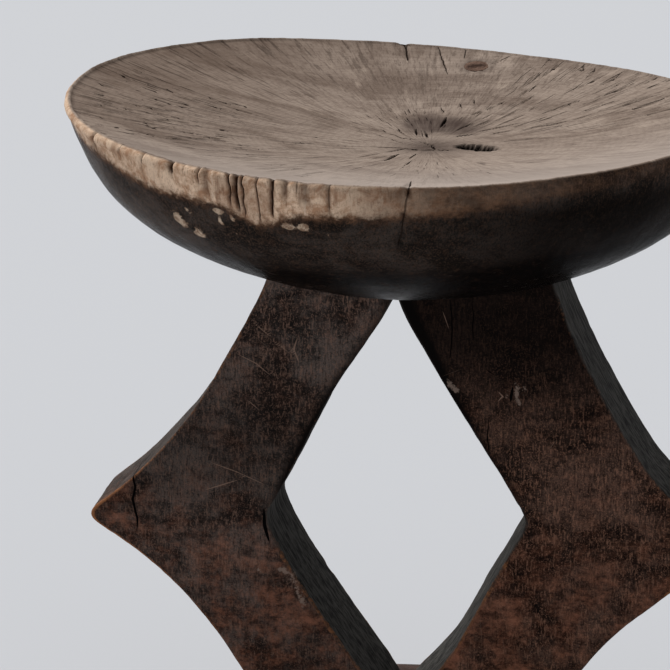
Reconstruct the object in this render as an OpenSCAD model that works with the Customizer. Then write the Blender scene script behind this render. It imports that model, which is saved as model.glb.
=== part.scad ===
// Carved hardwood headrest: a round dished rest on two bent slab legs and a domed round foot.
// X runs along the plane of the legs, Y from front to back, Z up from the floor.

/* [Dish] */
// Length of the dish from end to end
dish_length = 170; // [170:1:190]
// Depth of the dish from front to back
dish_depth = 167; // [150:1:168]
// Height of the rounded underside below the rim
bowl_height = 45; // [40:1:50]
// How deep the top is hollowed at its middle
hollow_depth = 9; // [5:0.5:12]
// How far the two ends of the rim rise above its sides
end_rise = 3.5; // [0:0.5:6]
// How much lower the right end of the dish hangs than its middle
end_drop = 2.5; // [0:0.5:4]
// How much broader the left end is than the right, as a share of the depth
egg_share = 0.11; // [0:0.01:0.12]
// Radius of the worn rim edge
rim_radius = 1.6; // [1:0.2:3]

/* [Legs] */
// Height of the rim's sides above the floor
rim_height = 178; // [170:1:186]
// Thickness of both legs from front to back
leg_thickness = 29; // [24:0.5:34]
// Height of the knees above the floor
knee_height = 70.5; // [64:0.5:76]
// Reach of the left knee from the middle
left_knee_reach = 81; // [74:0.5:82]
// Reach of the right knee from the middle
right_knee_reach = 84.5; // [76:0.5:85]
// Half width of the left leg where it meets the dish and the foot
left_leg_half_span = 32; // [28:0.5:36]
// Half width of the right leg where it meets the dish and the foot
right_leg_half_span = 38; // [32:0.5:42]
// How far the outer edges above the knees curve inwards
upper_edge_hollow = 7; // [3:0.5:8]
// How far the outer edges below the knees curve inwards
lower_edge_hollow = 5; // [2:0.5:6]
// Radius of the knee tips
knee_radius = 3; // [1:0.5:5]

/* [Opening] */
// Half width of the diamond opening between the legs
opening_half_width = 34; // [28:0.5:38]
// Radius of the opening's left and right corners
opening_corner_radius = 5; // [2:0.5:8]
// Gap between the two legs where the opening closes above and below
leg_gap = 0.4; // [0.2:0.1:1]

/* [Foot] */
// Length of the foot from end to end
foot_length = 118; // [100:1:140]
// Depth of the foot from front to back
foot_depth = 114; // [90:1:140]
// Height of the foot's edge
foot_edge_height = 7; // [5:0.5:9]
// Height of the foot at its middle
foot_height = 18.5; // [14:0.5:20]

/* [Knot] */
// Diameter of the knot in the top of the dish
knot_diameter = 7.4; // [4:0.2:9]
// Distance of the knot to the right of the middle
knot_right = 10.5; // [0:0.5:20]
// Distance of the knot behind the middle
knot_back = 70; // [50:0.5:70]
// Height of the knot's lower end below the rim
knot_reach = 14; // [10:0.5:18]

/* [Hidden] */

wood_top = [0.53, 0.46, 0.40];
wood_knot = [0.36, 0.30, 0.27];
wood_leg = [0.20, 0.15, 0.13];
wood_foot = [0.22, 0.18, 0.16];

RING_SIDES = 64;
BOWL_RINGS = 12;
HOLLOW_RINGS = 7;
DOME_RINGS = 5;
LIP_STEPS = 3;

bowl_bottom_z = rim_height - bowl_height;
leg_root_z = rim_height - 0.8 * bowl_height;
elbow_height = knee_height + 3.5;

// A point on an oval ring: r is its share of the full size, lift its share of the ends' rise.
function oval_point(row, angle, half_x, half_y, egg, rise, drop) =
    let (r = row[0], along = cos(angle))
    [
        half_x * r * along,
        half_y * r * sin(angle) * (1 - egg * r * along),
        row[1] + rise * row[2] * along ^ 2 - drop * r * along
    ];

// The closed solid swept by rows of [r, z, lift], from the lowest middle point to the highest.
module oval_solid(rows, half_x, half_y, egg = 0, rise = 0, drop = 0) {
    rings = len(rows) - 2;
    points = [
        [0, 0, rows[0][1]],
        for (ring = [1 : rings], side = [0 : RING_SIDES - 1])
            oval_point(rows[ring], 360 * side / RING_SIDES, half_x, half_y, egg, rise, drop),
        [0, 0, rows[rings + 1][1]]
    ];
    first = function (ring) 1 + (ring - 1) * RING_SIDES;
    at = function (ring, side) first(ring) + side % RING_SIDES;
    last = len(points) - 1;
    faces = [
        for (side = [0 : RING_SIDES - 1])
            [0, at(1, side), at(1, side + 1)],
        for (ring = [1 : rings - 1], side = [0 : RING_SIDES - 1])
            [at(ring, side), at(ring + 1, side), at(ring + 1, side + 1)],
        for (ring = [1 : rings - 1], side = [0 : RING_SIDES - 1])
            [at(ring, side), at(ring + 1, side + 1), at(ring, side + 1)],
        for (side = [0 : RING_SIDES - 1])
            [at(rings, side), last, at(rings, side + 1)]
    ];
    polyhedron(points, faces);
}

// The dish without its knot hole: a half ellipsoid below, a worn lip, and a shallow hollow on top.
module dish_body() {
    lip = rim_radius / (dish_length / 2);
    underside = bowl_height - rim_radius;
    rows = [
        for (i = [0 : BOWL_RINGS])
            let (t = 90 * i / BOWL_RINGS)
            [sin(t), rim_height - rim_radius - underside * cos(t), 1 - cos(t)],
        for (i = [1 : LIP_STEPS])
            let (t = 90 * i / LIP_STEPS)
            [1 - lip * (1 - cos(t)), rim_height - rim_radius * (1 - sin(t)), 1],
        for (i = [1 : HOLLOW_RINGS])
            let (r = 1 - i / HOLLOW_RINGS)
            [r * (1 - lip), rim_height - hollow_depth * (1 - r ^ 2), r ^ 2]
    ];
    oval_solid(rows, dish_length / 2, dish_depth / 2, egg_share, end_rise, end_drop);
}

module knot_blank() {
    translate([knot_right, knot_back, rim_height - knot_reach])
        cylinder(h = knot_reach + end_rise, d = knot_diameter, $fn = 48);
}

module top_dish() {
    color(wood_top)
        difference() {
            dish_body();
            knot_blank();
        }
}

module dish_knot() {
    color(wood_knot)
        intersection() {
            dish_body();
            knot_blank();
        }
}

module foot_body() {
    edge_round = 1.5;
    round_share = edge_round / (foot_length / 2);
    top_share = 1 - round_share;
    rows = [
        [0, 0, 0],
        [top_share, 0, 0],
        [1, edge_round, 0],
        [1, foot_edge_height - edge_round, 0],
        for (i = [0 : DOME_RINGS])
            let (r = 1 - i / DOME_RINGS)
            [r * top_share, foot_height - (foot_height - foot_edge_height) * r ^ 2, 0]
    ];
    oval_solid(rows, foot_length / 2, foot_depth / 2);
}

module round_foot() {
    color(wood_foot)
        foot_body();
}

// A disc that bites a hollow of the given depth into the edge from a to b, from the edge's left.
module edge_bite(a, b, depth) {
    chord = norm(b - a);
    radius = (chord ^ 2 / 4 + depth ^ 2) / (2 * depth);
    away = [a.y - b.y, b.x - a.x] / chord;
    translate((a + b) / 2 + away * (radius - depth))
        circle(r = radius, $fn = 180);
}

// The outline of the right-hand leg in the X-Z plane, from inside the dish down into the foot.
module leg_outline(knee_reach, half_span) {
    buried_top_z = rim_height - 2 * hollow_depth;
    root = [half_span, leg_root_z];
    knee = [knee_reach, knee_height];
    ankle = [half_span, foot_height];
    offset(r = knee_radius) offset(delta = -knee_radius)
        offset(r = -opening_corner_radius) offset(delta = opening_corner_radius)
            difference() {
                polygon([
                    [leg_gap / 2, buried_top_z],
                    [half_span, buried_top_z],
                    root,
                    knee,
                    ankle,
                    [half_span, 0],
                    [leg_gap / 2, 0],
                    [leg_gap / 2, foot_height],
                    [opening_half_width, elbow_height],
                    [leg_gap / 2, bowl_bottom_z]
                ]);
                edge_bite(root, knee, upper_edge_hollow);
                edge_bite(knee, ankle, lower_edge_hollow);
            }
}

// The right-hand leg's slab, before the dish and the foot shape its ends.
module leg_slab(knee_reach, half_span) {
    rotate([90, 0, 0])
        linear_extrude(height = leg_thickness, center = true)
            leg_outline(knee_reach, half_span);
}

module left_leg() {
    color(wood_leg)
        difference() {
            mirror([1, 0, 0])
                leg_slab(left_knee_reach, left_leg_half_span);
            dish_body();
            foot_body();
        }
}

module right_leg() {
    color(wood_leg)
        difference() {
            leg_slab(right_knee_reach, right_leg_half_span);
            dish_body();
            foot_body();
        }
}

top_dish();
dish_knot();
left_leg();
right_leg();
round_foot();
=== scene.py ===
"""A worn one-block wooden headrest: the looks built around its CAD frame."""

import math
from collections import namedtuple

import bpy
import numpy as np
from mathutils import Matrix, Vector


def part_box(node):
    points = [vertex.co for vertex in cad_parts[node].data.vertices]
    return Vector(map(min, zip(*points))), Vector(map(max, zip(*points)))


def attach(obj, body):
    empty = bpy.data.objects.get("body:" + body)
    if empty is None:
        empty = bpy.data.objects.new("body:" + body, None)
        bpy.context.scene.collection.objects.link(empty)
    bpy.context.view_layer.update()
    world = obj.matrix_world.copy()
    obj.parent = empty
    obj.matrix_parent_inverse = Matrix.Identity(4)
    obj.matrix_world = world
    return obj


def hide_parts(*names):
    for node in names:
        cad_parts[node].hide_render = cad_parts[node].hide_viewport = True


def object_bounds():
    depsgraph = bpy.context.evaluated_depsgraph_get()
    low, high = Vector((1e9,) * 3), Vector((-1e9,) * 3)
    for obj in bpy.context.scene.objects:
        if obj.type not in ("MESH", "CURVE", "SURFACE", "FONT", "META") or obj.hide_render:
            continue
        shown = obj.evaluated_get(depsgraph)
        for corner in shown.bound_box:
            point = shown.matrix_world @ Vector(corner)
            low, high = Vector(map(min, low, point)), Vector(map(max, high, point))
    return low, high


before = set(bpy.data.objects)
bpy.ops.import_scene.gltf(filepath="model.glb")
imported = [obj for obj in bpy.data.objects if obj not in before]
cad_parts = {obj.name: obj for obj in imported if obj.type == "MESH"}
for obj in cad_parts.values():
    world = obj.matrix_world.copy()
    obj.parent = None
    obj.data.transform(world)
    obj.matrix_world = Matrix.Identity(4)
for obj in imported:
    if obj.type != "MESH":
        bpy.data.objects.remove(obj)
CAD_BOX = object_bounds()

# ---------- sizes, in millimetres
MM = 0.001
DISH_LOW, DISH_HIGH = (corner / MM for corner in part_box("top_dish"))
KNOT_LOW, KNOT_HIGH = (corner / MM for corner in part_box("dish_knot"))
FOOT_LOW, FOOT_HIGH = (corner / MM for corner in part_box("round_foot"))
LEG_LOW, LEG_HIGH = (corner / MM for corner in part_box("left_leg"))

END_RISE = 3.5  # how far the rim's two ends rise above its sides
END_DROP = 2.5  # how much lower the dish's right end hangs than its middle
EGG_SHARE = 0.11  # how much broader the dish's left end is than its right, as a share of its depth
HOLLOW = 9.0  # how deep the top is hollowed at its middle
LIP = 1.6  # radius of the worn rim edge
RIM_Z = DISH_HIGH.z - END_RISE - END_DROP
BOWL_Z = DISH_LOW.z
HALF_X = (DISH_HIGH.x - DISH_LOW.x) / 2
HALF_Y = 83.4  # a little inside the CAD dish, so that the relief has room
RIM_MM_PER_DEGREE = math.radians(HALF_Y)
BOWL_TRIM = 1.2  # how far the carved bowl's bottom stays above the CAD bowl's
PITH = np.array([6.5, -0.7])
KNOT = np.array([(KNOT_LOW.x + KNOT_HIGH.x) / 2, (KNOT_LOW.y + KNOT_HIGH.y) / 2])
KNOT_RADIUS = (KNOT_HIGH.x - KNOT_LOW.x) / 2
LEG_HALF_DEPTH = (LEG_HIGH.y - LEG_LOW.y) / 2 - 0.35  # less the room for the legs' relief
KNEE_Z = 71

# how finely the dish and the legs are divided
DISH_COLUMNS, TOP_ROWS, LIP_ROWS, WALL_ROWS = 730, 80, 8, 46
LEG_ROWS, FACE_STEPS, SIDE_STEPS, CORNER_STEPS = 300, 54, 24, 4
FAR_AWAY = 1e9  # a distance in mm that every real one is under
OFF_LINE = 9.0  # an offset in mm that no mark is wide enough to reach


# ---------- repeatable noise
def lattice(ix, iy, iz, seed):
    """A repeatable number from 0 to 1 at every point of a whole-number grid."""
    mixed = (ix * 73856093) ^ (iy * 19349663) ^ (iz * 83492791) ^ (seed * 668265263)
    mixed = ((mixed ^ (mixed >> 15)) * 2246822519) & 0xFFFFFFFF
    mixed = ((mixed ^ (mixed >> 13)) * 3266489917) & 0xFFFFFFFF
    return ((mixed ^ (mixed >> 16)) & 0xFFFFFF) / 0xFFFFFF


def noise(points, size, seed=0):
    """Smooth noise from -1 to 1 whose cells measure size along X, Y and Z."""
    cell = points / np.asarray(size, float)
    base = np.floor(cell).astype(np.int64)
    part = cell - base
    part = part * part * (3 - 2 * part)
    total = np.zeros(len(points))
    for corner in range(8):
        step = np.array([corner & 1, corner >> 1 & 1, corner >> 2])
        weight = np.where(step, part, 1 - part).prod(axis=1)
        at = base + step
        total += weight * lattice(at[:, 0], at[:, 1], at[:, 2], seed)
    return 2 * total - 1


def fbm(points, size, seed=0, octaves=3):
    """Layered noise from about -1 to 1, each layer half the size and half the strength."""
    total = np.zeros(len(points))
    for octave in range(octaves):
        total += noise(points * 2 ** octave, size, seed + octave) / 2 ** octave
    return total / (2 - 2 ** (1 - octaves))


def rough(grid, strength, size, seed):
    """Layered noise over a grid of points, up to about the strength either way."""
    return strength * fbm(grid.reshape(-1, 3), size, seed).reshape(grid.shape[:2])


def smooth(low, high, value):
    """0 below low, 1 above high, eased in between; works downwards too."""
    part = np.clip((value - low) / (high - low), 0, 1)
    return part * part * (3 - 2 * part)


def bump(distance, width):
    """1 at no distance, falling smoothly to nothing past the width."""
    return np.exp(-(distance / width) ** 2)


# ---------- meshes
def grid_faces(rows, columns, hand):
    """Quads over a grid of rows of points, each row closed on itself."""
    row = np.arange(rows - 1)[:, None] * columns
    here = np.arange(columns)[None, :]
    after = (here + 1) % columns
    second, fourth = [row + columns + here, row + after][::hand]
    corners = [row + here, second, row + columns + after, fourth]
    return np.stack(np.broadcast_arrays(*corners), -1).reshape(-1, 4).tolist()


def fan_faces(middle, first, columns, hand):
    """Triangles from a middle point to a closed row that starts at first."""
    here = np.arange(columns)
    ends = [first + here, first + (here + 1) % columns][::hand]
    return np.stack([np.full(columns, middle), *ends], -1).tolist()


def grid_normals(grid):
    """Unit normals of a grid of closed rows, outward where hand would be 1."""
    around = np.roll(grid, -1, 1) - np.roll(grid, 1, 1)
    along = np.gradient(grid, axis=0)
    normal = np.cross(along, around)
    return normal / np.maximum(np.linalg.norm(normal, axis=2, keepdims=True), 1e-9)


def build(name, node, grid, middles, fields, material, hand=1):
    """The piece made of a grid of closed rows, capped by a middle point at each end.

    The rows go from top to bottom. Hand is 1 where they run counter-clockwise seen from above and
    -1 where they run clockwise, so that the faces look outwards.
    """
    rows, columns = grid.shape[:2]
    count = rows * columns
    points = np.vstack([grid.reshape(-1, 3), middles]) * MM
    faces = grid_faces(rows, columns, hand)
    faces += fan_faces(count, 0, columns, hand)
    faces += fan_faces(count + 1, count - columns, columns, -hand)
    mesh = bpy.data.meshes.new(name)
    mesh.from_pydata(points.tolist(), [], faces)
    mesh.polygons.foreach_set("use_smooth", np.ones(len(faces), bool))
    for field, values in fields.items():
        ends = [values[0].mean(), values[-1].mean()]
        layer = mesh.attributes.new(field, "FLOAT", "POINT")
        layer.data.foreach_set("value", np.append(values.reshape(-1), ends))
    mesh.materials.append(material)
    mesh.update()
    piece = bpy.data.objects.new(name, mesh)
    bpy.context.scene.collection.objects.link(piece)
    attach(piece, "root")
    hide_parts(node)


def mark_fields(x, y, widest, path):
    """How far each place is from one mark, its signed offset, and the mark's half width there."""
    nearest, offset = np.full(x.shape, FAR_AWAY), np.full(x.shape, OFF_LINE)
    half = np.zeros(x.shape)
    steps = np.hypot(*np.diff(np.array(path), axis=0).T)
    done = 0.0
    for (ax, ay), (bx, by), step in zip(path[:-1], path[1:], steps):
        dx, dy = (bx - ax) / step, (by - ay) / step
        along = np.clip((x - ax) * dx + (y - ay) * dy, 0, step)
        distance = np.hypot(x - ax - along * dx, y - ay - along * dy)
        closer = distance < nearest
        share = (done + along) / steps.sum()
        nearest = np.where(closer, distance, nearest)
        offset = np.where(closer, (x - ax) * dy - (y - ay) * dx, offset)
        half = np.where(closer, widest * np.sqrt(np.maximum(4 * share * (1 - share), 0)), half)
        done += step
    return nearest, offset, half


def near_path(x, y, path, width):
    """1 along a path of points, falling smoothly to nothing past the width."""
    return bump(mark_fields(x, y, 0, path)[0], width)


def nearest_marks(x, y, marks, fade=0.9):
    """The signed offset from the nearest mark's line and the mark's half width there, in mm.

    A mark is (half width, points). Its half width is kept only within the fade distance and
    away from other marks, so the two fields draw a clean line across a coarse mesh.
    """
    nearest, second = np.full(x.shape, FAR_AWAY), np.full(x.shape, FAR_AWAY)
    offset, half = np.full(x.shape, OFF_LINE), np.zeros(x.shape)
    for widest, path in marks:
        own_distance, own_offset, own_half = mark_fields(x, y, widest, path)
        closer = own_distance < nearest
        second = np.where(closer, nearest, np.minimum(second, own_distance))
        nearest = np.where(closer, own_distance, nearest)
        offset = np.where(closer, own_offset, offset)
        half = np.where(closer, own_half, half)
    within = smooth(1, 0.7, nearest / (fade + 2 * half))
    return offset, half * within * smooth(0.1, 0.5, second - nearest)


# ---------- materials
WOOD_GLOSS = 0.004  # so low that the wood shines only where it turns away from the eye


class Wood:
    """A node material in the making; each method adds nodes and returns their output."""

    def __init__(self, name, gloss=WOOD_GLOSS):
        self.material = bpy.data.materials.new(name)
        self.material.use_nodes = True
        self.tree = self.material.node_tree
        self.shader = self.tree.nodes["Principled BSDF"]
        self.shader.inputs["Specular IOR Level"].default_value = gloss
        self.position = self.node("ShaderNodeTexCoord").outputs["Object"]

    def node(self, kind, links=(), **settings):
        made = self.tree.nodes.new(kind)
        for key, value in settings.items():
            setattr(made, key, value)
        for socket, value in dict(links).items():
            self.put(made.inputs[socket], value)
        return made

    def put(self, socket, value):
        if isinstance(value, bpy.types.NodeSocket):
            self.tree.links.new(value, socket)
        else:
            socket.default_value = value

    def math(self, operation, a, b=0.0):
        return self.node("ShaderNodeMath", {0: a, 1: b}, operation=operation).outputs[0]

    def times(self, a, b):
        return self.math("MULTIPLY", a, b)

    def plus(self, a, b):
        return self.math("ADD", a, b)

    def minus(self, a, b):
        return self.math("SUBTRACT", a, b)

    def field(self, name):
        return self.node("ShaderNodeAttribute", attribute_name=name).outputs["Fac"]

    def stretched(self, scale, shift=(0, 0, 0)):
        """The position, scaled along each axis and then moved."""
        links = {"Vector": self.position, "Scale": scale, "Location": shift}
        return self.node("ShaderNodeMapping", links).outputs[0]

    def length(self, vector):
        return self.node("ShaderNodeVectorMath", {0: vector}, operation="LENGTH").outputs["Value"]

    def noise(self, vector, scale, detail, rough=0.5, twist=0.0):
        links = {
            "Vector": vector, "Scale": scale, "Detail": detail,
            "Roughness": rough, "Distortion": twist,
        }
        return self.node("ShaderNodeTexNoise", links).outputs["Fac"]

    def span(self, value, low, high, out_low=0.0, out_high=1.0):
        """From one output to the other, eased, as the value goes from low to high."""
        links = {0: value, 1: low, 2: high, 3: out_low, 4: out_high}
        return self.node("ShaderNodeMapRange", links, interpolation_type="SMOOTHSTEP").outputs[0]

    def mix(self, share, a, b):
        made = self.node("ShaderNodeMix", {0: share, 6: a, 7: b}, data_type="RGBA")
        return made.outputs[2]

    def layered(self, colour, *layers):
        """The colour under layers of (value, low, high, strength, colour), as span reads them."""
        for value, low, high, strength, other in layers:
            colour = self.mix(self.span(value, low, high, 0, strength), colour, other)
        return colour

    def bump(self, height, distance, strength):
        links = {"Height": height, "Distance": distance, "Strength": strength}
        return self.node("ShaderNodeBump", links).outputs[0]

    def finish(self, colour, roughness, normal=None):
        """The material, with these on its shader."""
        self.put(self.shader.inputs["Base Color"], colour)
        self.put(self.shader.inputs["Roughness"], roughness)
        if normal is not None:
            self.put(self.shader.inputs["Normal"], normal)
        return self.material


def shade(red, green, blue):
    """A linear colour from a shade written 0 to 255."""
    def line(value):
        value /= 255
        return value / 12.92 if value <= 0.04045 else ((value + 0.055) / 1.055) ** 2.4
    return (line(red), line(green), line(blue), 1)


def end_grain(wood):
    """The dish's top: greyed end grain with fine radial lines and faint growth rings, and a painted
    sheen towards the front.
    """
    about_pith = wood.stretched((1, 1, 0), (-PITH[0] * MM, -PITH[1] * MM, 0))
    way = wood.node("ShaderNodeVectorMath", {0: about_pith}, operation="NORMALIZE").outputs[0]
    reach = wood.length(about_pith)
    east, north, _ = wood.node("ShaderNodeSeparateXYZ", {0: way}).outputs

    def radial(across, along):
        """A noise position that runs round the pith and out from it."""
        links = {
            0: wood.times(east, across),
            1: wood.times(north, across),
            2: wood.times(reach, along),
        }
        return wood.node("ShaderNodeCombineXYZ", links).outputs[0]

    cloud = wood.noise(wood.stretched((1, 2.2, 1)), 20, 5, 0.6, 0.8)
    patch = wood.noise(wood.stretched((1, 2.5, 1), (0.3, 0.1, 0)), 70, 4, 0.65, 0.5)
    streak = wood.noise(radial(26, 80), 1, 5, 0.66)
    fine = wood.noise(radial(95, 260), 1, 3, 0.66)
    line = wood.noise(radial(55, 60), 1, 4, 0.7)
    speck = wood.noise(wood.position, 1700, 3, 0.75)
    warp = wood.times(cloud, 0.012)
    ring = wood.math("SINE", wood.times(wood.plus(reach, warp), 3600))

    colour = wood.mix(wood.span(cloud, 0.34, 0.62), shade(133, 116, 104), shade(173, 155, 141))
    colour = wood.layered(
        colour,
        (patch, 0.5, 0.72, 0.55, shade(108, 91, 80)),
        (ring, -0.2, 1, 0.14, shade(100, 83, 72)),
        (streak, 0.5, 0.68, 0.5, shade(104, 88, 77)),
        (streak, 0.44, 0.28, 0.6, shade(192, 173, 156)),
        (fine, 0.5, 0.66, 0.5, shade(88, 74, 65)),
        (speck, 0.56, 0.72, 0.45, shade(192, 175, 159)),
        (speck, 0.42, 0.3, 0.4, shade(88, 74, 65)),
    )
    # painted sheen: the top lighter and greyer towards the front and right
    colour = wood.mix(wood.field("light"), colour, shade(182, 168, 158))
    colour = wood.mix(wood.field("brown_end"), colour, shade(116, 97, 84))
    lined = wood.plus(wood.field("brown_end"), 0.14)
    lined = wood.times(lined, wood.span(line, 0.53, 0.64, 0, 1.15))
    colour = wood.mix(lined, colour, shade(72, 60, 53))
    stain = wood.times(wood.field("grey"), wood.span(streak, 0.35, 0.6, 0.78, 1))
    colour = wood.mix(stain, colour, shade(72, 59, 54))
    relief = wood.times(wood.plus(fine, streak), -0.5)
    relief = wood.plus(relief, wood.times(speck, 0.3))
    return colour, relief


def drawn(wood, name, soft=0.09):
    """The line that a pair of offset and half-width fields draws, from 0 to 1."""
    away = wood.math("ABSOLUTE", wood.field(name + "_offset"))
    inside = wood.minus(wood.field(name + "_half"), away)
    return wood.span(inside, 0, soft)


def burnished(wood, light, warm, dark, seed):
    """The darkened side grain of the bowl, legs and foot: its colour, relief and mottling."""
    shift = (seed, seed * 0.7, seed * 0.3)
    blotch = wood.noise(wood.stretched((1, 1, 1.3), shift), 45, 8, 0.72, 0.3)
    layer = wood.noise(wood.stretched((1, 1, 1.6), shift), 170, 7, 0.8, 0.15)
    fibre = wood.noise(wood.stretched((1900, 1900, 480), shift), 1, 3, 0.65)
    thread = wood.noise(wood.stretched((3000, 3000, 260), shift), 1, 2, 0.6)
    grit = wood.noise(wood.position, 2300, 3, 0.75)
    colour = wood.mix(wood.span(blotch, 0.4, 0.59), dark, light)
    colour = wood.layered(
        colour,
        (layer, 0.46, 0.32, 0.5, warm), (layer, 0.5, 0.66, 0.65, dark),
        (fibre, 0.47, 0.34, 0.7, warm), (fibre, 0.52, 0.66, 0.6, dark),
        (thread, 0.54, 0.68, 0.6, dark),
        (grit, 0.54, 0.66, 0.75, warm), (grit, 0.45, 0.34, 0.65, dark),
    )
    relief = wood.minus(wood.times(grit, 0.5), fibre)
    relief = wood.minus(relief, wood.times(thread, 0.5))
    return colour, relief, layer


def bare_wood(wood):
    """Wood rubbed bare where the dark surface has gone: mottled, with split fibres in places."""
    fibre = wood.noise(wood.stretched((700, 700, 60)), 1, 4, 0.6)
    thread = wood.noise(wood.stretched((2400, 2400, 240)), 1, 2, 0.6)
    patch = wood.noise(wood.position, 260, 5, 0.7, 0.5)
    grit = wood.noise(wood.position, 1500, 3, 0.75)
    stain = wood.noise(wood.stretched((1, 1, 0.7), (0.5, 0, 0)), 130, 4, 0.6, 0.6)
    colour = wood.mix(wood.span(patch, 0.34, 0.6), shade(192, 150, 119), shade(250, 218, 188))
    colour = wood.layered(
        colour,
        (stain, 0.48, 0.64, 0.42, shade(140, 104, 82)), (grit, 0.45, 0.3, 0.55, shade(150, 114, 88)),
    )
    torn = wood.times(wood.field("fibrous"), wood.span(fibre, 0.52, 0.66, 0, 0.5))
    colour = wood.mix(torn, colour, shade(120, 84, 62))
    pale = wood.times(wood.field("fibrous"), wood.span(fibre, 0.42, 0.28, 0, 0.8))
    colour = wood.mix(pale, colour, shade(238, 214, 190))
    # painted shade inside the rim's splits, darkest where they cut in furthest
    colour = wood.mix(wood.field("hollow"), colour, shade(70, 45, 33))
    return wood.mix(wood.span(thread, 0.54, 0.7, 0, 0.35), colour, shade(132, 98, 74))


def dish_wood():
    """The dish's wood: end grain on top, a worn band under the rim, and the darkened bowl, with painted
    shade on its right and underside.
    """
    wood = Wood("dish_wood")
    top, top_relief = end_grain(wood)
    wall, wall_relief, layer = burnished(
        wood, shade(90, 80, 74), shade(106, 82, 68), shade(37, 33, 30), 0.0
    )
    # painted shade: the bowl goes near black on its right, away from the light, and towards its bottom
    wall = wood.mix(wood.field("shadow"), wall, shade(13, 11, 10))
    crumb = wood.noise(wood.position, 700, 4, 0.7, 0.4)
    ragged = wood.minus(wood.plus(layer, crumb), 1.0)
    limit = wood.plus(wood.field("band"), wood.times(ragged, 0.9))
    stained = wood.times(wood.span(limit, 0.0, 0.5), wood.field("tan"))
    stain = wood.mix(wood.span(layer, 0.36, 0.62), shade(128, 94, 71), shade(66, 47, 37))
    wall = wood.mix(stained, wall, stain)
    bare = wood.times(wood.span(limit, 0.3, 0.85), wood.field("pale"))
    wall = wood.mix(bare, wall, bare_wood(wood))
    chipped = wood.plus(wood.field("spot"), wood.times(ragged, 1.1))
    flake = wood.mix(wood.span(crumb, 0.4, 0.6), shade(206, 182, 158), shade(140, 114, 94))
    wall = wood.mix(wood.span(chipped, 0.38, 0.56), wall, flake)
    above = wood.span(wood.field("top"), 0.3, 0.7)
    colour = wood.mix(above, wall, top)
    check = drawn(wood, "check")
    black = wood.times(check, wood.span(above, 0, 1, 0.65, 0.9))
    colour = wood.mix(black, colour, shade(34, 25, 21))
    # painted shade in the pit's hollow
    hole = wood.times(wood.field("dark"), wood.span(crumb, 0.46, 0.64, 1, 0.75))
    colour = wood.mix(hole, colour, shade(20, 15, 13))
    relief = wood.mix(above, wood.times(wall_relief, 0.5), top_relief)
    relief = wood.minus(relief, wood.times(check, 1.5))
    rough = wood.span(layer, 0.35, 0.65, 0.16, 0.28)
    rough = wood.plus(wood.times(above, 0.3), rough)
    rough = wood.plus(rough, wood.times(bare, 0.25))
    return wood.finish(colour, rough, wood.bump(relief, 0.0003, 0.7))


def leg_wood(name, light, warm, dark, seed):
    """The darkened wood of the legs and foot, redder, worn and marked, with painted shade and a painted
    grey sheen on the side faces, where its fields say.
    """
    wood = Wood(name)
    colour, relief, layer = burnished(wood, light, warm, dark, seed)
    rust = wood.noise(wood.stretched((1, 1, 0.8), (seed, 0, 0)), 90, 8, 0.78, 0.2)
    share = wood.times(wood.field("red"), wood.span(rust, 0.34, 0.66))
    rusty = wood.mix(wood.span(layer, 0.36, 0.6), shade(162, 106, 82), shade(58, 37, 29))
    colour = wood.mix(wood.times(share, 0.85), colour, rusty)
    # painted shade from the night and inner-edge fields
    colour = wood.mix(wood.field("shadow"), colour, shade(19, 16, 15))
    # painted sheen: the side faces greyed like a reflection of the pale room, over streaky grain
    streak = wood.noise(wood.stretched((500, 900, 45)), 1, 5, 0.7)
    flank_sheen = wood.mix(wood.span(streak, 0.34, 0.66), shade(43, 42, 41), shade(90, 87, 83))
    colour = wood.mix(wood.field("side"), colour, flank_sheen)
    crumb = wood.noise(wood.position, 1100, 4, 0.7)
    ragged = wood.minus(wood.plus(crumb, layer), 1.0)
    limit = wood.plus(wood.field("edge"), wood.times(ragged, 1.2))
    colour = wood.mix(wood.span(limit, 0.42, 0.95, 0, 0.9), colour, shade(158, 106, 72))
    scratch = wood.times(drawn(wood, "scratch", 0.12), wood.span(layer, 0.74, 0.5))
    colour = wood.mix(wood.times(scratch, 0.8), colour, shade(150, 122, 106))
    broken = wood.plus(wood.times(ragged, 5.0), 0.9)
    dotted = wood.times(wood.field("scar"), broken)
    colour = wood.mix(wood.span(dotted, 0.5, 1.1, 0, 0.75), colour, shade(150, 129, 116))
    crack = drawn(wood, "crack")
    colour = wood.mix(crack, colour, shade(10, 8, 8))
    relief = wood.minus(relief, wood.times(crack, 1.5))
    rough = wood.times(wood.field("side"), 0.25)
    rough = wood.plus(wood.span(layer, 0.35, 0.65, 0.34, 0.5), rough)
    return wood.finish(colour, rough, wood.bump(relief, 0.00025, 0.7))


def knot_wood():
    """The knot's wood: faint rings round its middle, with a darker core and edge."""
    wood = Wood("knot_wood")
    reach = wood.length(wood.stretched((1, 1, 0), (-KNOT[0] * MM, -KNOT[1] * MM, 0)))
    wobble = wood.times(wood.noise(wood.position, 420, 3), 0.003)
    ring = wood.math("SINE", wood.times(wood.plus(reach, wobble), 5200))
    grit = wood.noise(wood.position, 1300, 4, 0.7)
    colour = wood.mix(wood.span(ring, -0.6, 0.9, 0, 0.35), shade(128, 103, 89), shade(92, 71, 61))
    colour = wood.mix(wood.span(grit, 0.42, 0.68, 0, 0.65), colour, shade(66, 50, 43))
    colour = wood.mix(wood.field("core"), colour, shade(54, 40, 34))
    relief = wood.plus(grit, wood.times(ring, 0.2))
    return wood.finish(colour, 0.6, wood.bump(relief, 0.0003, 0.8))


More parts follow.
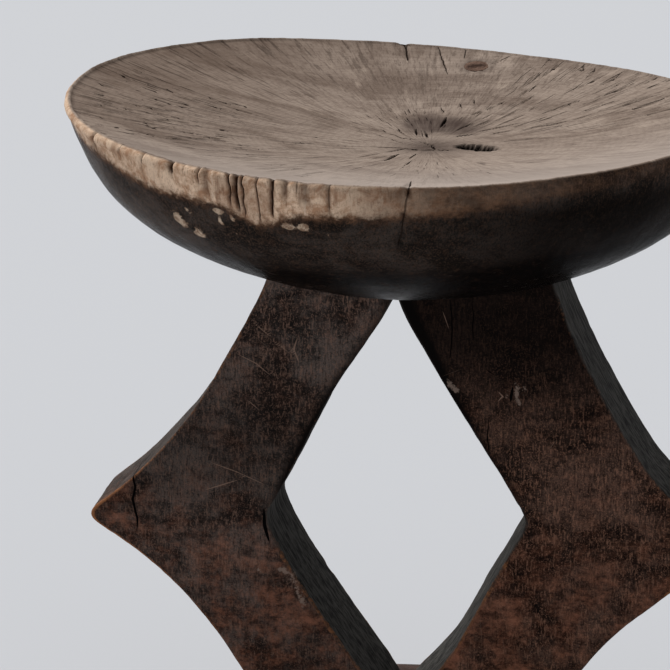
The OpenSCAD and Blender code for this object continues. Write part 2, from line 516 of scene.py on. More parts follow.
# ---------- the dish
# The larger checks in the end grain: half width in mm, then (degrees, mm) from the pith.
MAIN_CHECKS = [
    (0.26, [(105, 31.5), (105.5, 37)]), (0.3, [(111.5, 12.5), (107.5, 19)]),
    (0.2, [(108.5, 24), (108.5, 29)]), (0.22, [(90.5, 34), (92.5, 38.5)]),
    (0.45, [(88.5, 20.5), (88.5, 30)]), (0.3, [(76, 18), (72, 27), (70, 35.5)]),
    (0.3, [(59, 20.5), (51, 32.5)]), (0.22, [(84.5, 39), (86, 42)]),
    (0.22, [(81, 42.5), (82, 46)]), (0.28, [(78.5, 33), (72.5, 43)]),
    (0.28, [(63, 30), (63, 42)]), (0.28, [(67.5, 13), (55.5, 18)]),
    (0.3, [(47, 21), (43.5, 26.5)]), (0.26, [(134, 21), (135, 11), (115, 8.5)]),
    (0.3, [(-154, 6), (-137, 13)]), (0.5, [(-122, 12), (-113, 21.5)]),
    (0.18, [(-97, 17), (-97, 27)]), (0.45, [(120, 6), (70, 1.5), (-62, 4.5)]),
    (0.4, [(-150, 6), (-100, 4.4), (-24, 7)]), (0.3, [(165, 5), (150, 12)]),
    (0.32, [(200, 7), (196, 15)]), (0.26, [(-136, 15), (-130, 24)]), (0.24, [(-104, 9), (-101, 16)]),
    (0.34, [(98, 10), (101, 16)]), (0.3, [(124, 13), (121, 20)]), (0.24, [(68, 24), (66.5, 31)]),
    (0.34, [(38, 33), (36, 46)]), (0.3, [(42, 48), (41, 61)]), (0.26, [(31, 52), (30.5, 66)]),
    (0.26, [(52, 41), (51, 54)]), (0.24, [(47, 59), (46.5, 70)]), (0.24, [(57, 60), (56.5, 71)]),
    (0.28, [(64, 62), (62.5, 76)]), (0.24, [(70, 66), (69, 78)]), (0.26, [(26, 66), (25.5, 80)]),
    (0.3, [(-87.5, 52), (-87, 65), (-87.5, 82)]), (0.28, [(101.5, 73), (101.5, 87)]),
    (0.26, [(92.5, 64), (95.5, 84)]), (0.2, [(90, 75), (90, 83)]),
    (0.22, [(84, 72), (80.5, 79)]), (0.4, [(-88.5, 25), (-88.5, 26)]),
    (0.35, [(-88, 31), (-87.5, 32.2)]), (0.3, [(-87, 36), (-87, 37)]),
]
# Where fine checks crowd: from and to in degrees, from and to in mm, count, length, half width.
CHECK_FIELDS = [
    (18, 78, 16, 78, 95, 11.0, 0.16),
    (160, 214, 44, 80, 120, 11.0, 0.22),
    (176, 250, 12, 62, 95, 9.0, 0.15),
    (80, 150, 10, 34, 40, 4.0, 0.13),
    (252, 380, 10, 40, 30, 5.0, 0.12),
]
# Upright splits in the rim's outer face: ring angle, half width, depth and length in mm.
RIM_SPLITS = [
    (217.4, 0.42, 1.3, 4.2), (226.0, 0.12, 0.7, 3.0), (231.5, 0.2, 0.5, 6.0), (238.0, 0.8, 1.5, 2.6),
    (240.6, 0.16, 0.3, 2.0), (243.6, 0.35, 0.8, 3.6), (245.0, 1.4, 0.5, 6.0), (249.0, 0.45, 1.0, 7.2),
    (250.3, 0.6, 1.5, 8.4), (251.5, 0.35, 1.1, 9.6), (253.9, 0.2, 1.0, 10.6), (256.4, 0.55, 1.2, 9.0),
    (258.6, 1.0, 0.7, 4.2), (260.4, 0.3, 0.5, 3.0), (262.0, 1.5, 0.6, 5.2), (265.8, 0.35, 0.8, 6.4),
    (278.2, 0.3, 1.6, 15.0), (307.2, 0.12, 0.3, 8.0),
]
# Where the dark surface has flaked off below the rim: ring angle, drop, half width and height in mm.
FLAKES = [
    (236.5, 14.9, 2.0, 1.8), (239.6, 17.8, 2.1, 1.3), (239.8, 11.6, 1.3, 0.9), (237.0, 10.4, 0.6, 0.5),
    (246.4, 9.8, 1.7, 0.6), (246.2, 12.2, 0.7, 1.1), (248.8, 10.8, 0.7, 0.6), (248.5, 15.6, 0.6, 0.6),
    (258.6, 10.8, 1.8, 0.6), (261.2, 10.8, 1.6, 0.9), (265.0, 13.0, 0.7, 0.7), (251.8, 12.8, 0.5, 0.4),
]
# The lower limit of the worn band: ring angle and drop below the rim in mm.
BAND = [
    (0, 1.4), (120, 1.4), (180, 2.2), (205, 3.4), (216, 4.6), (224, 6.0), (233, 7.6),
    (240, 7.6), (247, 7.8), (250, 9.6), (253, 11.4), (256, 10.6), (259, 8.6), (266, 7.4),
    (276, 7.0), (284, 6.2), (292, 4.8), (302, 3.2), (320, 2.0), (360, 1.4),
]
# How split, bare and brown the outer face is round the rim, and how much painted shade darkens it: ring
# angle and strength.
FIBROUS = [(0, 0.3), (225, 0.1), (238, 0.35), (247, 1), (259, 1), (266, 0.5), (300, 0.3)]
PALE = [
    (0, 0), (120, 0.2), (180, 0.75), (225, 0.85), (240, 1), (262, 1), (268, 0.75),
    (275, 0.35), (284, 0.1), (305, 0),
]
TAN = [(0, 0.3), (180, 0.9), (268, 1), (285, 0.75), (300, 0.42), (330, 0.22), (360, 0.3)]
SHADOW = [(0, 1), (60, 0.5), (180, 0.3), (215, 0.2), (240, 0.35), (262, 0.4), (280, 0.5), (300, 0.9)]
# The rough pit on the right of the pith, as a path in X and Y.
PIT_PATH = [(16.4, 0.3), (18.6, -0.4), (20.8, -1.6)]


def dish_top_z(x, y):
    """The height of the dish's hollowed top."""
    across = x / HALF_X
    deep = y / (HALF_Y * (1 - EGG_SHARE * across))
    hollow = HOLLOW * (1 - np.minimum(across ** 2 + deep ** 2, 1))
    return RIM_Z - hollow + END_RISE * across ** 2 - END_DROP * across


def ring_angles(count):
    """Angles round the dish, closer together where it is split and checked."""
    fine = np.linspace(0, 360, 7201)
    crowd = 1 + 2.8 * bump(fine - 251, 10) + 1.0 * bump(fine - 60, 42) + 0.9 * bump(fine - 228, 16)
    reach = np.concatenate([[0], np.cumsum((crowd[1:] + crowd[:-1]) / 2)])
    return np.interp(np.arange(count) / count, reach / reach[-1], fine)


def by_angle(angle, pairs):
    """A value that follows (ring angle, value) pairs."""
    return np.interp(angle, *np.array(pairs, float).T)


def from_pith(degrees, distance):
    """The place in X and Y, seen from the pith, in a direction and at a distance."""
    return distance * math.cos(math.radians(degrees)), distance * math.sin(math.radians(degrees))


def all_checks():
    """Every check in the end grain as a mark about the pith, the fine ones strewn by chance."""
    checks = [(half, [from_pith(*at) for at in path]) for half, path in MAIN_CHECKS]
    chance = np.random.default_rng(4)
    for low, high, near, far, count, length, half in CHECK_FIELDS:
        for _ in range(count):
            way, start = chance.uniform(low, high), math.sqrt(chance.uniform(near ** 2, far ** 2))
            end = start + length * chance.uniform(0.35, 1.5)
            bend, drift = chance.normal(0, 0.35, 2)
            path = [(way, start), (way + bend, (start + end) / 2), (way + drift, end)]
            checks.append((half * chance.uniform(0.6, 1.35), [from_pith(*at) for at in path]))
    return checks


def dish_rings(angle):
    """The dish's smooth rings from the pith over the rim to the bowl's bottom.

    With them go 1 for the top, 0 for the outer face, and how far below the rim each ring lies.
    """
    turn = np.radians(angle)
    wavy = np.stack([60 * np.cos(turn), 60 * np.sin(turn), np.zeros(len(angle))], 1)
    uneven = 1 + 0.004 * fbm(wavy, 30, 5) + 0.0012 * fbm(wavy, 4, 6) - 0.010 * bump(angle - 184, 26)
    far_lift = 0.7 * bump(angle - 115, 32)

    def ring(share, z, lift):
        along = share * np.cos(turn)
        x = HALF_X * along * uneven
        y = HALF_Y * share * np.sin(turn) * (1 - EGG_SHARE * along) * uneven
        height = z + END_RISE * lift * np.cos(turn) ** 2 - END_DROP * along + far_lift * lift
        return np.stack([x, y, height], 1)

    edge = ring(1 - LIP / HALF_X, RIM_Z, 1)
    rows = []
    for i in range(1, TOP_ROWS + 1):
        share = (i / TOP_ROWS) ** 1.06
        x, y = (PITH + share * (edge[:, :2] - PITH)).T
        rows.append((np.stack([x, y, dish_top_z(x, y) + far_lift * share ** 4], 1), 1, 0))
    for i in range(1, LIP_ROWS + 1):
        t = math.pi / 2 * i / LIP_ROWS
        low = LIP * (1 - math.cos(t))
        lip = ring(1 - LIP * (1 - math.sin(t)) / HALF_X, RIM_Z - low, 1)
        rows.append((lip, max(0, 1 - 1.6 * i / LIP_ROWS), low))
    deep = RIM_Z - LIP - BOWL_Z - BOWL_TRIM
    for i in range(1, WALL_ROWS):
        t = math.pi / 2 * (1 - i / WALL_ROWS)
        share, fall = math.sin(t) ** 1.04, deep * math.cos(t) ** 1.04
        wall = ring(share, RIM_Z - LIP - fall, 1 - math.cos(t))
        low = LIP + fall
        trim = 1.9 * bump(angle - 192, 48) * math.exp(-((low - 11) / 9) ** 2)
        trim -= 1.3 * bump(angle - 332, 34) * math.exp(-((low - 30) / 12) ** 2)
        wall[:, :2] *= 1 - (trim / np.hypot(wall[:, 0], wall[:, 1]))[:, None]
        rows.append((wall, 0, low))
    rings, *levels = zip(*rows)
    shape = (len(rows), len(angle))
    return np.stack(rings), *(np.broadcast_to(np.array(v, float)[:, None], shape) for v in levels)


class Dish:
    """The dish's smooth surface before its marks are cut, and where each of its points lies."""

    def __init__(self):
        self.angle = ring_angles(DISH_COLUMNS)
        self.grid, top, self.drop = dish_rings(self.angle)
        self.shape = self.drop.shape
        self.ring_angle = np.broadcast_to(self.angle, self.shape)
        far_side = smooth(10, 30, self.ring_angle) * smooth(184, 166, self.ring_angle)
        self.top = np.maximum(top, far_side * (self.drop < 0.9 * LIP))
        rows = np.arange(self.shape[0])[:, None]
        self.is_top = np.broadcast_to(rows < TOP_ROWS, self.shape)
        self.x, self.y = self.grid[..., 0], self.grid[..., 1]
        self.reach = np.hypot(self.x - PITH[0], self.y - PITH[1])
        self.knot_reach = np.hypot(self.x - KNOT[0], self.y - KNOT[1])

    def rough(self, strength, size, seed):
        return rough(self.grid, strength, size, seed)

    def across(self, at):
        """The distance round the rim from a ring angle, in mm."""
        return (self.ring_angle - at) * RIM_MM_PER_DEGREE


def end_grain_marks(dish):
    """The top's checks as offset and half width, how deep it is cut, and where the pit is."""
    marks = all_checks()
    rim_row = dish.grid[TOP_ROWS - 1, :, :2]
    for at, half, _, length in RIM_SPLITS:
        # the rim's splits run a little way in over the top
        start = rim_row[np.argmin(np.abs(dish.angle - at))] - PITH
        marks.append((half, [tuple(start * 1.03), tuple(start * (1 - 0.012 * length ** 0.5))]))
    jitter = 0.16 * noise(dish.grid.reshape(-1, 3), 2.2, 11).reshape(dish.shape)
    offset, half = nearest_marks(dish.x - PITH[0] + jitter, dish.y - PITH[1] + jitter, marks)
    half = half * dish.is_top
    inside = (half - np.abs(offset)) / np.maximum(half, 0.01)
    groove = 5 * half * smooth(0, 0.8, inside) * (half > 0.17)

    beside_knot = smooth(KNOT_RADIUS, KNOT_RADIUS + 0.8, dish.knot_reach)
    half = half * beside_knot
    seat = 1.5 * smooth(3.2, 2.2, dish.knot_reach) * dish.is_top
    groove = np.maximum(groove * beside_knot, seat)
    pit = near_path(dish.x, dish.y, PIT_PATH, 3.2)
    pit = smooth(0.28, 0.5, pit + dish.rough(0.25, (1.8, 1.2, 5), 12)) * dish.is_top
    groove = np.maximum(groove, pit * (2.0 + dish.rough(0.5, (1.8, 1.6, 9), 13)))
    return offset, half, groove, pit


def rim_marks(dish, offset, half):
    """The checks' fields carried on over the outer face, and how far its upright splits cut in."""
    drop, is_top = dish.drop, dish.is_top
    inset = np.zeros(dish.shape)
    nearest = np.full(dish.shape, FAR_AWAY)
    for at, wide, depth, length in RIM_SPLITS:
        lean = at - 0.13 * drop * (1 if 270 < at < 290 else 0)
        wander = dish.rough(0.9, (60, 60, 4.5), int(at))
        across = dish.across(lean) + wander + dish.rough(0.16, (4, 4, 1.2), 16)
        kept = smooth(length + 1, length - 1.5, drop)
        inset = np.maximum(inset, depth * bump(across, 0.8 * wide) * kept)
        closer = (np.abs(across) < nearest) & ~is_top
        nearest = np.where(closer, np.abs(across), nearest)
        offset = np.where(closer, across, offset)
        black = min(wide, 0.16 * depth) if wide < 0.9 else 0
        half = np.where(closer, black * kept * smooth(0.9, 0.6, nearest), half)
    # how deep a split cuts in, which the shader turns into painted shade
    hollow = np.clip(inset / 0.9, 0, 1) * ~is_top
    at_rim = smooth(0.97, 1, dish.reach / dish.reach[TOP_ROWS - 1])
    inset *= np.where(is_top, at_rim, 1) * (1 + dish.rough(0.5, 3, 17))
    notch = bump(dish.ring_angle - 97.6, 0.8) * smooth(3.0, 0.0, drop) * ~is_top
    return offset, half, np.maximum(inset, 0.9 * notch), hollow


def rim_wear_and_shade(dish):
    """The fields that say what is worn, flaked and stained on the outer face, and where painted shade
    darkens it.
    """
    drop, ring_angle, outside = dish.drop, dish.ring_angle, ~dish.is_top
    spot = np.zeros(dish.shape)
    for at, low, wide, high in FLAKES:
        away = (dish.across(at) / wide) ** 2 + ((drop - low) / high) ** 2
        spot = np.maximum(spot, np.exp(-away * 0.9))
    limit = by_angle(ring_angle, BAND) + dish.rough(0.8, (3.5, 3.5, 12), 22)
    # painted shade, darker round to the right and down towards the bowl's bottom
    shadow = by_angle(ring_angle, SHADOW) * smooth(0, 9, drop) + 0.95 * smooth(19, 32, drop)
    return {
        "band": smooth(3.2, -3.2, drop - limit) * outside, "spot": spot * outside,
        "pale": by_angle(ring_angle, PALE), "tan": by_angle(ring_angle, TAN),
        "fibrous": by_angle(ring_angle, FIBROUS), "shadow": np.clip(shadow, 0, 1),
    }


def end_grain_tints(dish):
    """The fields that say where the top is stained and brown, and where a painted sheen lightens it."""
    x, y = dish.x, dish.y
    stain = np.exp(-(((x - 7) / 12) ** 2 + ((y - 21) / 10) ** 2))
    stain = smooth(0.15, 0.85, stain + dish.rough(0.4, 7, 34)) * 0.85
    grey = np.maximum(stain, 0.75 * bump(dish.reach, 9))
    halo = bump(dish.knot_reach - KNOT_RADIUS - 0.4, 1.5)
    grey = np.maximum(grey, (0.42 + dish.rough(0.3, 3, 35)) * halo)
    # painted sheen, growing towards the front and right and away from the pith
    light = 0.75 * smooth(0, 80, -y + 0.4 * x) * smooth(0, 50, dish.reach)
    brown_end = 0.5 * smooth(10, 90, -x + 0.4 * y)
    tints = {"grey": grey, "light": light, "brown_end": brown_end}
    return {name: tint * dish.is_top for name, tint in tints.items()}


def carved_dish(dish, groove, inset, wear):
    """The dish's points with worn waves, tool facets, fibres, checks and splits cut in."""
    x, y, is_top = dish.x, dish.y, dish.is_top
    split = wear["band"] * wear["fibrous"]
    side = np.where(is_top, 0, 1)
    sink = dish.rough(0.35, (26, 26, 14), 31) * np.where(is_top, 0.55, 1)
    sink += dish.rough(0.1, (7, 7, 6), 32)
    sink += dish.rough(0.08, (1.3, 1.3, 14), 33) * side * (1 + 2.5 * split)
    # flakes and torn fibres stand a little proud
    sink -= 0.3 * smooth(0.35, 0.55, wear["spot"]) + 0.25 * split * side
    grid = dish.grid - grid_normals(dish.grid) * sink[..., None]
    grid[..., 2] -= groove * is_top
    outward = np.stack([x, y], -1) / np.hypot(x, y)[..., None]
    grid[..., :2] -= outward * (inset * np.where(is_top, 0.35, 1))[..., None]
    grid[..., 2] -= inset * np.where(dish.drop < 2, 0.5, 0)
    low, high = (np.array([*corner]) / MM for corner in CAD_BOX)
    return np.clip(grid, low + 0.02, high - 0.02)


def dish_piece(material):
    """The dish, carved and worn."""
    dish = Dish()
    offset, half, groove, pit = end_grain_marks(dish)
    offset, half, inset, hollow = rim_marks(dish, offset, half)
    wear = rim_wear_and_shade(dish)
    grid = carved_dish(dish, groove, inset, wear)
    fields = {
        "top": dish.top, "check_offset": offset, "check_half": half,
        "dark": smooth(0, 0.4, pit), "hollow": hollow, **wear, **end_grain_tints(dish),
    }
    middles = [[*PITH, dish_top_z(*PITH) - 0.3], [0, 0, BOWL_Z + BOWL_TRIM + 0.1]]
    build("dish_carved", "top_dish", grid, middles, fields, material)


def knot_piece(material):
    """The knot's crown, a little over the dish, and a short skirt down into its seat."""
    columns, rows = 72, 14
    turn = np.radians(np.arange(columns) * 360 / columns)
    ring = np.stack([np.cos(turn), np.sin(turn)], 1)
    layers, core = [], []
    for i in range(1, rows + 1):
        share = i / rows
        flat = KNOT + ring * share * (KNOT_RADIUS - 0.12)
        crown = 0.14 * (1 - share ** 4) + 0.1
        z = dish_top_z(*flat.T) + crown
        z = z + 0.14 * fbm(np.column_stack([flat, z]), 0.9, 42) * (1 - share ** 3)
        layers.append(np.column_stack([flat, z]))
        streak = near_path(*(flat - KNOT).T, [(-1.6, -0.6), (1.4, 0.4)], 1.1)
        joint = smooth(0.88, 0.98, share) * (0.55 + 0.4 * noise(layers[-1], 1.6, 43))
        core.append(np.maximum(0.9 * streak, joint))
    for depth in (1.5, 3.0):
        layers.append(layers[rows - 1] - [0, 0, depth])
        core.append(np.ones(columns))
    middle_z = dish_top_z(*KNOT)
    middles = [[*KNOT, middle_z + 0.1], [*KNOT, middle_z - 3.4]]
    fields = {"core": np.stack(core)}
    build("knot_carved", "dish_knot", np.stack(layers), middles, fields, material)


# ---------- the legs
# Outlines in the X-Z plane, in mm: down from inside the dish to a corner, then on into the foot.
LEFT_OUTER = (
    [(-31, 150), (-33.4, 135), (-50.4, 103.6), (-67.6, 82.6), (-81.9, 71)],
    [(-81.9, 71), (-63.8, 59.4), (-48.4, 43.6), (-33, 19), (-31, 9)],
)
LEFT_INNER = (
    [(-0.2, 150), (-0.3, 133.6), (-16, 107.4), (-28.6, 82), (-33.0, 74.8)],
    [(-33.0, 74.8), (-32.4, 70.4), (-26.5, 58.8), (-15.3, 42), (-0.3, 19.5), (-0.2, 9)],
)
RIGHT_OUTER = (
    [(37, 150), (39.6, 138), (48.4, 116.8), (65.4, 88), (84.9, 70.4)],
    [(84.9, 70.4), (70.6, 57.8), (53, 42), (38.6, 19), (37, 9)],
)
RIGHT_INNER = (
    [(0.2, 150), (0.3, 133.6), (11.6, 112), (26.9, 87.4), (33.6, 76)],
    [(33.6, 76), (32.6, 72), (23.4, 54.6), (13.3, 36), (0.3, 19.5), (0.2, 9)],
)


def spline(points, steps=60):
    """A smooth path through the points, as many steps to each gap."""
    ends = [2 * np.array(points[0]) - points[1], *points, 2 * np.array(points[-1]) - points[-2]]
    knots = np.array(ends, float)
    t = np.linspace(0, 1, steps, endpoint=False)[:, None]
    path = []
    for a, b, c, d in zip(knots[:-3], knots[1:-2], knots[2:-1], knots[3:]):
        curve = 2 * b + (c - a) * t + (2 * a - 5 * b + 4 * c - d) * t ** 2
        path.append((curve + (3 * b - a - 3 * c + d) * t ** 3) / 2)
    return np.vstack([*path, knots[-2:-1]])


def even_points(path, count):
    """Evenly spaced points along a path."""
    reach = np.concatenate([[0], np.cumsum(np.hypot(*np.diff(path, axis=0).T))])
    at = np.linspace(0, reach[-1], count)
    return np.column_stack([np.interp(at, reach, path[:, 0]), np.interp(at, reach, path[:, 1])])


def outline(halves, softness):
    """Both halves of an outline, the corner between them rounded, with half the rows on each."""
    upper, lower = spline(halves[0]), spline(halves[1])
    fine = even_points(np.vstack([upper, lower[1:]]), 1600)
    span = max(int(softness / np.hypot(*(fine[1] - fine[0]))), 1)
    window = np.hanning(2 * span + 3)[1:-1]
    padded = np.pad(fine, ((span, span), (0, 0)), mode="reflect", reflect_type="odd")
    rounded = [np.convolve(padded[:, i], window / window.sum(), "valid") for i in (0, 1)]
    rounded = np.column_stack(rounded)
    turn = int(np.argmin(np.hypot(*(rounded - upper[-1]).T)))
    above = even_points(rounded[:turn + 1], LEG_ROWS // 2 + 1)[:-1]
    return np.vstack([above, even_points(rounded[turn:], LEG_ROWS - LEG_ROWS // 2)])


def leg_section():
    """One round of a leg's section, from the inner front edge: (kind, share across, place, face)."""
    loop = []
    bends = [i / CORNER_STEPS for i in range(CORNER_STEPS + 1)]
    for face, far in ((-1, 1), (1, 0)):
        for share in np.linspace(0, 1, FACE_STEPS + 2)[1:-1]:
            loop.append(("face", share if far else 1 - share, 0, face))
        loop += [("corner", far, bend, face) for bend in bends]
        for place in np.linspace(face, -face, SIDE_STEPS + 2)[1:-1]:
            loop.append(("side", far, place, face))
        loop += [("corner", far, 1 - bend, -face) for bend in bends]
    return loop


def leg_surface(leg):
    """A leg's smooth points, and how bare, how much to the side and how shaded each one is."""
    outer_line, inner_line = outline(leg.outer, 9), outline(leg.inner, 2.6)
    across = outer_line - inner_line
    width = np.hypot(*across.T)
    across /= width[:, None]
    along = np.concatenate([[0], np.cumsum(np.hypot(*np.diff(outer_line, axis=0).T))])
    knee = bump(outer_line[:, 1] - KNEE_Z, 15)
    ones = np.ones(LEG_ROWS)
    columns = []
    for kind, share, place, face in leg_section():
        far = round(share)
        key = np.column_stack([along, 50 * far * ones, 30 * face * ones])
        wear = 0.75 + 0.35 * fbm(key, (9, 99, 99), leg.seed + 3)
        wear = np.clip(wear + 1.2 * smooth(0.35, 0.8, fbm(key, (5, 99, 99), leg.seed + 4)), 0.35, 2.4)
        if kind == "face":
            inset = wear + share * (width - 2 * wear)
            y = face * LEG_HALF_DEPTH
            bare = bump(np.minimum(inset, width - inset) - wear, 0.5)
            side = 0
        elif kind == "corner":
            bend = place * math.pi / 2
            step = wear * (1 - math.sin(bend))
            inset = width - step if far else step
            y = face * (LEG_HALF_DEPTH - wear * (1 - math.cos(bend)))
            bare = 1
            side = place
        else:
            inset = width * far
            y = place * (LEG_HALF_DEPTH - wear)
            bare = bump((1 - abs(place)) * LEG_HALF_DEPTH, 0.5)
            side = 1
        x, z = (inner_line + across * inset[:, None]).T
        y = y * (1 - 0.12 * knee * (inset / width) ** 2)
        # painted shade along the inner edge, above the elbow
        brink = bump(inset, 2.4) * smooth(70, 84, z)
        columns.append([x, y, z, bare * leg.rub(z, far), side * leg.greyed[far] * ones, brink])
    values = np.moveaxis(np.array(columns), 2, 0)
    return values[..., :3], *np.moveaxis(values[..., 3:], 2, 0)


def leg_piece(leg, material):
    """A leg with its tool facets and fibres, and the fields of its marks."""
    grid, edge, side, brink = leg_surface(leg)
    normal = leg.hand * grid_normals(grid)
    x, y, z = np.moveaxis(grid, 2, 0)

    scratches = leg.scratches + strewn_scratches(leg.seed, x, z)
    scratch_offset, scratch_half = nearest_marks(x, z, scratches)
    scratch_half = scratch_half * (np.abs(y) > 0.8 * LEG_HALF_DEPTH)
    jitter = 0.3 * noise(grid.reshape(-1, 3), (9, 9, 3), leg.seed + 5).reshape(x.shape)
    crack_offset, crack_half = nearest_marks(x + jitter, z, leg.cracks)
    scar = np.zeros(x.shape)
    for size, path in leg.scars:
        scar = np.maximum(scar, near_path(x, z, path, size) * (y < -0.8 * LEG_HALF_DEPTH))
    swell = rough(grid, 0.3, (14, 20, 16), leg.seed)
    swell += rough(grid, 0.14, (5, 5, 4), leg.seed + 1)
    swell += rough(grid, 0.06, (1.2, 1.2, 12), leg.seed + 2)
    grid = grid + normal * np.minimum(swell, 0.33)[..., None]
    fields = {
        "edge": edge, "side": side, "scar": scar,
        "scratch_offset": scratch_offset, "scratch_half": scratch_half,
        "crack_offset": crack_offset, "crack_half": crack_half * (y < 0),
        "red": np.clip(0.15 + 0.9 * smooth(95, 35, z) + 0.9 * bump(np.abs(x) - 82, 10), 0, 1),
        "shadow": np.clip(leg.night(z) + 0.75 * brink, 0, 1),
    }
    middles = [grid[0].mean(axis=0), grid[-1].mean(axis=0)]
    build(leg.node + "_carved", leg.node, grid, middles, fields, material, leg.hand)


def strewn_scratches(seed, x, z):
    """Faint short scratches in all directions over a leg's broad faces."""
    chance = np.random.default_rng(seed)
    strewn = []
    for _ in range(60):
        start = chance.uniform((x.min(), 20), (x.max(), 140))
        way, length = chance.normal(-0.6, 0.8), chance.uniform(2, 9)
        end = start + length * np.array([math.cos(way), math.sin(way)])
        strewn.append((chance.uniform(0.03, 0.08), [tuple(start), tuple(end)]))
    return strewn


# A leg. Hand is -1 for the left one. Rub is how far its edges are rubbed bare at a height, on the
# inner (0) or outer (1) edge, greyed how strongly those two side faces take a painted grey sheen, and
# night how much painted shade darkens a height. A scratch, crack or scar is (half width, path in X and
# Z).
Leg = namedtuple("Leg", "node hand outer inner seed rub greyed night scratches cracks scars")

LEFT = Leg(
    "left_leg", -1, LEFT_OUTER, LEFT_INNER, seed=61, greyed=(1.0, 0.55),
    # below the elbow the inner edge's rub is partly a painted highlight along that edge, partly rubbed
    # wear
    rub=lambda z, far: 0.55 + 0.3 * bump(z - KNEE_Z, 14) if far else 0.3 + 0.3 * smooth(72, 60, z),
    night=lambda z: 0.42 * bump(z - 92, 20) + 0.15 * smooth(66, 50, z),
    scratches=[
        (0.21, [(-37.5, 126), (-32.4, 122), (-27, 117.3)]),
        (0.17, [(-41, 117), (-35.5, 114.3), (-31.5, 111)]),
        (0.15, [(-38, 104.6), (-34.8, 102)]),
        (0.16, [(-48.5, 87.5), (-41, 85.2), (-32.6, 81.6)]),
        (0.28, [(-25, 121.5), (-25.9, 118.4), (-24.5, 115)]),
        (0.18, [(-49.8, 79.5), (-45.2, 81.2), (-39.4, 83.4)]),
    ],
    cracks=[
        (0.36, [(-68.6, 84.5), (-67.6, 79.5), (-68.4, 76), (-67.2, 71), (-67.6, 67)]),
        (0.5, [(-34, 75.5), (-33.7, 71), (-32.4, 66.5)]),
    ],
    scars=[
        (1.0, [(-35, 58.7), (-34.4, 58.2)]),
        (1.1, [(-29.4, 59.4), (-26.6, 57.8), (-25, 54.2), (-23.6, 50)]),
    ],
)
RIGHT = Leg(
    "right_leg", 1, RIGHT_OUTER, RIGHT_INNER, seed=71, greyed=(1.0, 1.0),
    rub=lambda z, far: 0.4 + 0.5 * bump(z - 62, 6) if far else 0.15 + 0.5 * smooth(78, 60, z),
    # painted shade under the bowl over the leg's upper part
    night=lambda z: 0.9 * smooth(84, 126, z),
    scratches=[
        (0.22, [(26, 109.7), (27.2, 108.4), (26, 106.9)]), (0.12, [(41, 97.7), (38.2, 93.6)]),
        (0.14, [(11.8, 130.2), (13.6, 125.2)]), (0.1, [(22.3, 48.6), (22.7, 42.8)]),
    ],
    cracks=[
        (0.2, [(24, 102.5), (23.5, 98.2), (24, 93.5)]),
        (0.22, [(13.7, 134), (14.4, 125.4), (13.8, 116.8)]),
        (0.18, [(19.4, 133), (19.8, 122)]), (0.2, [(23, 115.3), (24.8, 114)]),
        (0.4, [(29.6, 111), (29.4, 107)]),
    ],
    scars=[
        (0.9, [(13.4, 111.6), (15.6, 109.4)]), (0.6, [(28.4, 110.2), (28.2, 107.8)]),
        (0.9, [(30.9, 111.6), (30.6, 109.2), (31.3, 106.8)]), (0.5, [(33, 111.6), (32.7, 109)]),
    ],
)


# ---------- the foot
def foot_piece(material):
    """The foot: an uneven dome over a rounded edge and a flat underside."""
    columns, dome_rows, edge_rows, base_rows = 260, 44, 8, 10
    edge_high, top_high, bevel = 7.0, FOOT_HIGH.z, 1.8
    turn = np.radians(np.arange(columns) * 360 / columns)
    half_x, half_y = (FOOT_HIGH.x - FOOT_LOW.x) / 2, (FOOT_HIGH.y - FOOT_LOW.y) / 2
    ring = np.stack([np.cos(turn) * half_x, np.sin(turn) * half_y], 1)
    uneven = 1 - 0.006 * (1 + fbm(np.column_stack([ring, turn * 0]), 16, 51))[:, None]
    flat_share = 1 - bevel / half_x
    rows, edge = [], []

    def add(share, z, worn):
        rows.append(np.column_stack([ring * share * uneven, np.full(columns, z)]))
        edge.append(np.full(columns, worn))

    for i in range(1, dome_rows + 1):
        share = i / dome_rows * flat_share
        add(share, top_high - (top_high - edge_high) * share ** 2, 0.35 * smooth(0.94, 1, share))
    for i in range(1, edge_rows + 1):
        t = i / edge_rows * math.pi
        share = 1 - bevel / half_x * (1 - math.sin(t))
        add(share, edge_high / 2 * (1 + math.cos(t)), 0.35 * bump(t - 0.5, 0.5))
    for i in range(1, base_rows):
        add(flat_share * (1 - i / base_rows), 0, 0)
    grid = np.stack(rows)
    wave = np.minimum(rough(grid, 0.5, 17, 52) + rough(grid, 0.15, 5, 53), 0)
    height = grid[..., 2]
    grid[..., 2] = np.maximum(height + wave * (height > 0.5), 0)
    even = {
        "side": 0, "scar": 0, "scratch_offset": OFF_LINE, "scratch_half": 0,
        "crack_offset": OFF_LINE, "crack_half": 0, "red": 0.4, "shadow": 0.3,
    }
    fields = {name: np.full(grid.shape[:2], float(value)) for name, value in even.items()}
    fields["edge"] = np.stack(edge)
    middles = [[0, 0, top_high - 0.3], [0, 0, 0]]
    build("foot_carved", "round_foot", grid, middles, fields, material)


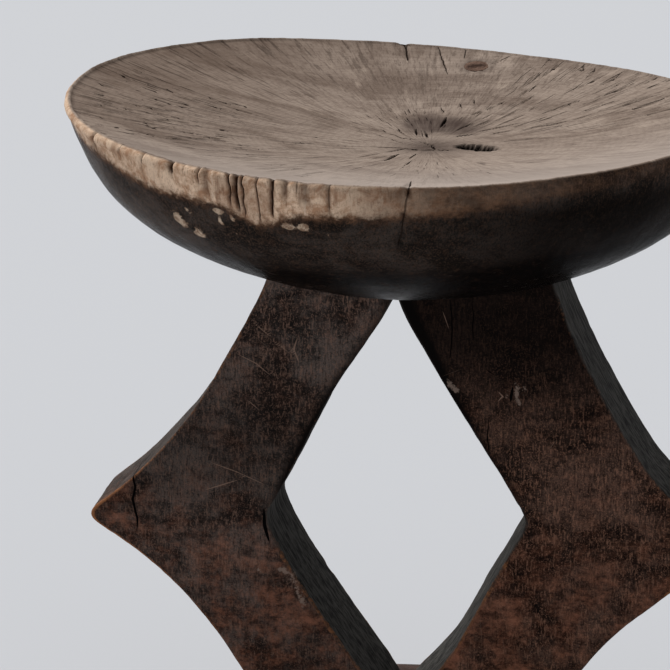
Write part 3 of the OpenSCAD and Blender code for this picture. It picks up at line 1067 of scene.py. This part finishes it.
# ---------- assembly
left_wood = leg_wood("leg_wood_left", shade(108, 97, 91), shade(142, 112, 97), shade(32, 30, 29), 0.31)
right_wood = leg_wood("leg_wood_right", shade(98, 76, 66), shade(158, 116, 95), shade(20, 17, 16), 0.87)
foot_wood = leg_wood("foot_wood", shade(82, 70, 65), shade(112, 82, 66), shade(36, 31, 29), 0.11)
dish_piece(dish_wood())
knot_piece(knot_wood())
leg_piece(LEFT, left_wood)
leg_piece(RIGHT, right_wood)
foot_piece(foot_wood)

# ---------- floor, light and camera
FLOOR_REACH = 6.0  # in metres
floor_mesh = bpy.data.meshes.new("floor")
corners = [(x * FLOOR_REACH, y * FLOOR_REACH, 0) for x, y in ((-1, -1), (1, -1), (1, 1), (-1, 1))]
floor_mesh.from_pydata(corners, [], [(0, 1, 2, 3)])
floor = bpy.data.objects.new("floor", floor_mesh)
bpy.context.scene.collection.objects.link(floor)
floor_mesh.materials.append(Wood("pale_floor", gloss=0.1).finish(shade(214, 215, 218), 0.9))

world = bpy.data.worlds.new("studio")
world.use_nodes = True
sky = world.node_tree.nodes["Background"]
sky.inputs["Color"].default_value = (0.93, 0.96, 1.0, 1)
sky.inputs["Strength"].default_value = 0.27
bpy.context.scene.world = world


def pointed(name, data, way, place=(0, 0, 0)):
    """A lamp or camera at a place, looking along a direction."""
    made = bpy.data.objects.new(name, data)
    made.location = place
    made.rotation_mode = "QUATERNION"
    made.rotation_quaternion = Vector(way).to_track_quat("-Z", "Y")
    bpy.context.scene.collection.objects.link(made)
    return made


sun = bpy.data.lights.new("key", "SUN")
sun.energy = 3.0
sun.angle = math.radians(45)
pointed("key", sun, (0.68, -0.62, -0.95))

AZIMUTH, ELEVATION = math.radians(8.6), math.radians(16)
level = math.cos(ELEVATION)
view = (-math.sin(AZIMUTH) * level, math.cos(AZIMUTH) * level, -math.sin(ELEVATION))
eye = bpy.data.cameras.new("camera")
eye.lens = 182.69
eye.sensor_width = 36
bpy.context.scene.camera = pointed("camera", eye, view, (0.10776, -0.82823, 0.35875))
bpy.context.scene.view_settings.view_transform = "Standard"
